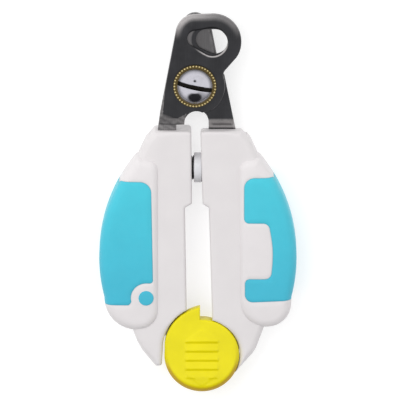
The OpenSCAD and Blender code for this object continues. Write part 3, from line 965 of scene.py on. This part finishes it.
def spring_holder():
    """Cup that holds the spring in the right handle, with a flange at its mouth."""
    mouth, end = (value.x / MM - SHIFT[0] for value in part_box("spring_cup"))
    flange = [(mouth + 0.25, 4.2), (mouth, 4.4), (mouth, 4.7), (mouth + 0.08, 4.87),
              (mouth + 0.25, 4.95), (mouth + 2.3, 4.95), (mouth + 2.5, 4.75), (mouth + 2.58, 4.6)]
    cup = [(end - 0.4, 4.6), (end, 4.2), (end, 0.01), (end - 0.9, 0.01), (end - 0.9, 4.2)]
    solid = lathe(flange + cup, crosswise)
    piece("spring_holder", [solid], CUP_PLASTIC, "right_half", ["spring_cup"])


def coil_tube(left, right):
    """Round wire wound from left to right, with closer coils at both ends."""
    steps = int(TURNS * STEPS_PER_TURN)
    verts, faces = [], []
    for i in range(steps + 1):
        share = i / steps
        travel = share - END_CLOSING * math.sin(2 * math.pi * share)
        x = left + WIRE_R + (right - left - 2 * WIRE_R) * travel
        turn = 2 * math.pi * TURNS * share
        for j in range(WIRE_SIDES):
            around_wire = 2 * math.pi * j / WIRE_SIDES
            r = COIL_R + WIRE_R * math.cos(around_wire)
            h = x + WIRE_R * math.sin(around_wire)
            verts.append(crosswise(h, r * math.cos(turn), r * math.sin(turn)))
    for i in range(steps):
        for j in range(WIRE_SIDES):
            a, b, k = i * WIRE_SIDES, (i + 1) * WIRE_SIDES, (j + 1) % WIRE_SIDES
            faces.append((a + j, b + j, b + k, a + k))
    faces.append(tuple(range(WIRE_SIDES)))
    faces.append(tuple(steps * WIRE_SIDES + j for j in reversed(range(WIRE_SIDES))))
    return np.array(verts), faces, {}


def spring_coil():
    """Compression spring that runs between the two halves."""
    left, right = (value.x / MM - SHIFT[0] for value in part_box("return_spring"))
    solid = coil_tube(left, right)
    coil = piece("spring_coil", [solid], SPRING_STEEL, None, ["return_spring"], 60)
    start, end = ((np.array([x, SPRING_Y, SPRING_Z]) + [*SHIFT, 0]) * MM for x in (right, left))
    tuple(start)
    tuple(end)
    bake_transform(coil)


# ---- lock ----------------------------------------------------------------------------------
DISC_R = 12.35
TOOTH_R = 16.6
STEP_ANGLE = 92
TOOTH_SWEEP = 80
FACE_CENTRE = LOCK + [0, 0.9]
FACE_R = 10.9
CHAMFER_FALL = 1.5
ARROW_RISE = 0.25
RIDGES = 5
RIDGE_PITCH = 3.1
RIDGE_FALL = 0.9
RIDGE_HALF = 5.8
RIDGE_RISE = 0.5
RIDGE_TOP = LOCK[1] + 5.2


def disc_outline():
    """Round disc whose rim spirals out to a tooth, which ends in a step parallel to the clipper."""
    edge_x = LOCK[0] + TOOTH_R * math.cos(math.radians(STEP_ANGLE))
    meet = math.degrees(math.acos((edge_x - LOCK[0]) / DISC_R))
    spiral = []
    for angle in np.linspace(STEP_ANGLE, STEP_ANGLE + TOOTH_SWEEP, 40):
        radius = DISC_R + (TOOTH_R - DISC_R) * (1 - (angle - STEP_ANGLE) / TOOTH_SWEEP)
        turn = math.radians(angle)
        spiral.append(LOCK + radius * np.array([math.cos(turn), math.sin(turn)]))
    return np.concatenate([spiral, arc(LOCK, DISC_R, 173, 360 + meet, 110)])


def arrow_outline():
    """Long hexagon that points both ways along the clipper."""
    x, y = LOCK
    return rounded([
        (x - 5.4, y + 5.2, 0.6), (x - 5.4, y - 6.2, 1.2), (x, y - 10.2, 1.2),
        (x + 5.4, y - 6.2, 1.2), (x + 5.4, y + 5.2, 0.6), (x, y + 9.4, 1.2)])


def disc_fall(p, outline):
    """Height lost at the rim: the flat face is a smaller circle, set a little towards the tooth."""
    flat_face = arc(FACE_CENTRE, FACE_R, 0, 356, 89)
    out, into = distance(p, outline), np.maximum(-depth(p, flat_face), 0)
    share = into / np.maximum(out + into, 1e-6)
    beyond = step(FACE_R, 12.0, np.linalg.norm(p - LOCK, axis=1))
    tooth = beyond * step(0, 6, p[:, 1] - LOCK[1])
    return CHAMFER_FALL * share ** 1.6 * (1 - tooth) + round_edge(out, 0.6, 0.45) * tooth


def ridges(p):
    """Saw-tooth ridges across the arrow, each with a steep side and a long one."""
    along = (RIDGE_TOP - p[:, 1]) / RIDGE_PITCH
    share = along % 1
    fall = RIDGE_FALL / RIDGE_PITCH
    saw = np.where(share < fall, 1 - share / fall, (share - fall) / (1 - fall))
    last = RIDGES - 1
    on = step(-fall, 0, along) * (1 - step(last, last + fall, along))
    ends = step(0.0, 0.6, RIDGE_HALF - np.abs(p[:, 0] - LOCK[0]))
    return RIDGE_RISE * (saw - 0.5) * on * ends


def ridge_frames():
    """Outlines round the steep side of each ridge."""
    frames = []
    for i in range(RIDGES):
        y = RIDGE_TOP - i * RIDGE_PITCH
        for half in (RIDGE_HALF, RIDGE_HALF - 0.6):
            x0, x1 = LOCK[0] - half, LOCK[0] + half
            corners = [(x0, y), (x1, y), (x1, y - RIDGE_FALL), (x0, y - RIDGE_FALL)]
            frames.append(dense(np.array(corners), FINE))
    return frames


def lock_cap():
    """Front of the lock disc: chamfered rim, tooth and a raised, ridged double arrow."""
    outline = dense(disc_outline(), FINE)
    arrow = dense(arrow_outline(), FINE)
    low, high = DISC_FRONT
    face = high - 0.45

    def top(p):
        raised = ARROW_RISE * step(-0.6, 0.6, depth(p, arrow))
        return face - disc_fall(p, outline) + raised + ridges(p)

    # painted shade on the lower half of the chamfered rim, which faces away from the light
    def edge(p):
        return step(0.02, 0.6, disc_fall(p, outline)) * step(0, 5, LOCK[1] - p[:, 1])

    lines = [outline, *rings(outline, (0.06, 0.18, 0.35, 0.6, 1.0, 1.5, 2.0))]
    lines += rings(arrow, (-0.6, -0.3, 0, 0.3, 0.6))
    lines += [arc(FACE_CENTRE, r, 0, 356, 89) for r in (FACE_R, FACE_R - 0.3)]
    lines += ridge_frames()
    solid = relief(lines, within(outline), top, flat_at(low), {"edge": edge}, grid=0.9)
    piece("lock_disc_cap", [solid], YELLOW, "lock_disc", ["lock_disc_front"], 40)


def lock_base():
    """Rear of the lock disc: a plain round plate with a rolled edge."""
    low, high = DISC_REAR
    left, right = (value.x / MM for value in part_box("lock_disc_rear"))
    outline = arc(LOCK, (right - left) / 2, 0, 356, 89)

    def fall(p):
        return round_edge(distance(p, outline), 1.4, 1.1)

    def bottom(p):
        return low + fall(p)

    # painted shade on the rolled edge
    def edge(p):
        return 0.3 * step(0.1, 0.8, fall(p))

    lines = [outline, *rings(outline, (0.06, 0.2, 0.45, 0.8, 1.4))]
    solid = relief(lines, within(outline), flat_at(high), bottom, {"edge": edge}, grid=1.5)
    piece("lock_disc_base", [solid], YELLOW, "lock_disc", ["lock_disc_rear"], 40)


# ---- CAD nodes that stay as they are -------------------------------------------------------
STEEL_NODES = [
    "rear_washer", "pivot_nut", "right_handle_screws", "left_handle_screws",
    "lock_plate", "lock_catch", "lock_axle", "lock_peg",
]


def dress_cad_nodes():
    """Gives the CAD's own hidden pieces their metal or plastic."""
    looks = {name: ZINC for name in STEEL_NODES}
    looks["spring_seat"] = CUP_PLASTIC
    for name, material in looks.items():
        mesh = frame["nodes"][name].data
        mesh.materials.clear()
        mesh.materials.append(material)


# ---- studio --------------------------------------------------------------------------------
TILT = math.radians(13.75)
CAMERA_AWAY = 3.0
SEEN_WIDTH = 0.1314
SENSOR = 36.0
AIM = (0.69, 0.28)
DARK = (0.01, 0.01, 0.012, 1.0)
DARK_PATCHES = [
    # direction, cosines where it starts and is full, strength
    ((0, 0, 1), 0.42, 0.04, 0.6),
    ((0.15, -1.0, 0.4), 0.72, 0.9, 0.5),
    ((0, -1.0, 0.55), 0.88, 0.93, 0.96),
    ((0, math.sin(0.33), math.cos(0.33)), 0.991, 0.996, 0.97),
]
FLOOR_HALF = 3.0
FLOOR_LOW = -1e-4
FLOOR_LOOK = {
    "Base Color": (0.5, 0.5, 0.5, 1),
    "Roughness": 0.9,
    "Specular IOR Level": 0.1,
    "Emission Color": (1, 1, 1, 1),
    "Emission Strength": 0.6,
}


def camera():
    """Long lens above the clipper, leaning a little towards its head."""
    middle = Vector(((AIM[0] + SHIFT[0]) * MM, (AIM[1] + SHIFT[1]) * MM, RAIL_TOP * MM))
    back = Vector((0, math.sin(TILT), math.cos(TILT)))
    up = Vector((0, math.cos(TILT), -math.sin(TILT)))
    data = bpy.data.cameras.new("camera")
    data.sensor_width = SENSOR
    data.lens = SENSOR * CAMERA_AWAY / SEEN_WIDTH
    data.clip_start, data.clip_end = 0.01, 20
    made = bpy.data.objects.new("camera", data)
    made.location = middle + back * CAMERA_AWAY
    made.rotation_mode = "QUATERNION"
    made.rotation_quaternion = Matrix((up.cross(back), up, back)).transposed().to_quaternion()
    bpy.context.scene.collection.objects.link(made)
    bpy.context.scene.camera = made


def patch(tree, colour, direction, low, high, amount):
    """Darkens the surround round one direction; returns the new colour's socket."""
    dot = tree.nodes.new("ShaderNodeVectorMath")
    dot.operation = "DOT_PRODUCT"
    dot.inputs[1].default_value = Vector(direction).normalized()
    tree.links.new(tree.nodes["Texture Coordinate"].outputs["Generated"], dot.inputs[0])
    span = tree.nodes.new("ShaderNodeMapRange")
    for socket, number in zip(span.inputs[1:], (low, high, 0.0, amount)):
        socket.default_value = number
    tree.links.new(dot.outputs["Value"], span.inputs[0])
    mix = tree.nodes.new("ShaderNodeMix")
    mix.data_type = "RGBA"
    tree.links.new(span.outputs["Result"], mix.inputs[0])
    if colour:
        tree.links.new(colour, mix.inputs[6])
    else:
        mix.inputs[6].default_value = (1.0, 1.0, 1.0, 1.0)
    mix.inputs[7].default_value = DARK
    return mix.outputs[2]


def surround():
    """White surround with dark patches, which the blades and the chrome reflect."""
    world = bpy.data.worlds.new("studio")
    world.use_nodes = True
    bpy.context.scene.world = world
    tree = world.node_tree
    tree.nodes.new("ShaderNodeTexCoord")
    background = tree.nodes["Background"]
    background.inputs["Strength"].default_value = 1.0
    colour = None
    for direction, low, high, amount in DARK_PATCHES:
        colour = patch(tree, colour, direction, low, high, amount)
    tree.links.new(colour, background.inputs["Color"])


def key_light():
    """Soft light from the upper left, which shiny pieces don't reflect."""
    light = bpy.data.lights.new("key", "AREA")
    light.energy = 2.4
    light.size = 0.6
    lamp = bpy.data.objects.new("key", light)
    lamp.location = (-0.3, 0.35, 0.7)
    lamp.visible_glossy = False
    lamp.rotation_mode = "QUATERNION"
    lamp.rotation_quaternion = lamp.location.to_track_quat("Z", "Y")
    bpy.context.scene.collection.objects.link(lamp)


def white_floor():
    """Plain bright floor that takes a faint shadow."""
    half, low = FLOOR_HALF, FLOOR_LOW
    corners = [(-half, -half, low), (half, -half, low), (half, half, low), (-half, half, low)]
    mesh = bpy.data.meshes.new("floor")
    mesh.from_pydata(corners, [], [(0, 1, 2, 3)])
    paint = bpy.data.materials.new("floor_paint")
    paint.use_nodes = True
    for socket, value in FLOOR_LOOK.items():
        paint.node_tree.nodes["Principled BSDF"].inputs[socket].default_value = value
    mesh.materials.append(paint)
    floor = bpy.data.objects.new("floor", mesh)
    bpy.context.scene.collection.objects.link(floor)


def studio():
    """Plain view transform, surround, light and floor."""
    bpy.context.scene.view_settings.view_transform = "Standard"
    surround()
    key_light()
    white_floor()


camera()
ring_plate()
cutter_plate()
slotted_screw()
beaded_washer()
for side_name, body_name in (("right", "right_half"), ("left", "left_half")):
    shell(side_name, True, body_name, [f"{side_name}_handle_front"])
    shell(side_name, False, body_name, [f"{side_name}_handle_rear"])
left_grip()
right_grip()
dot_inlay()
spring_holder()
spring_coil()
lock_cap()
lock_base()
dress_cad_nodes()
studio()
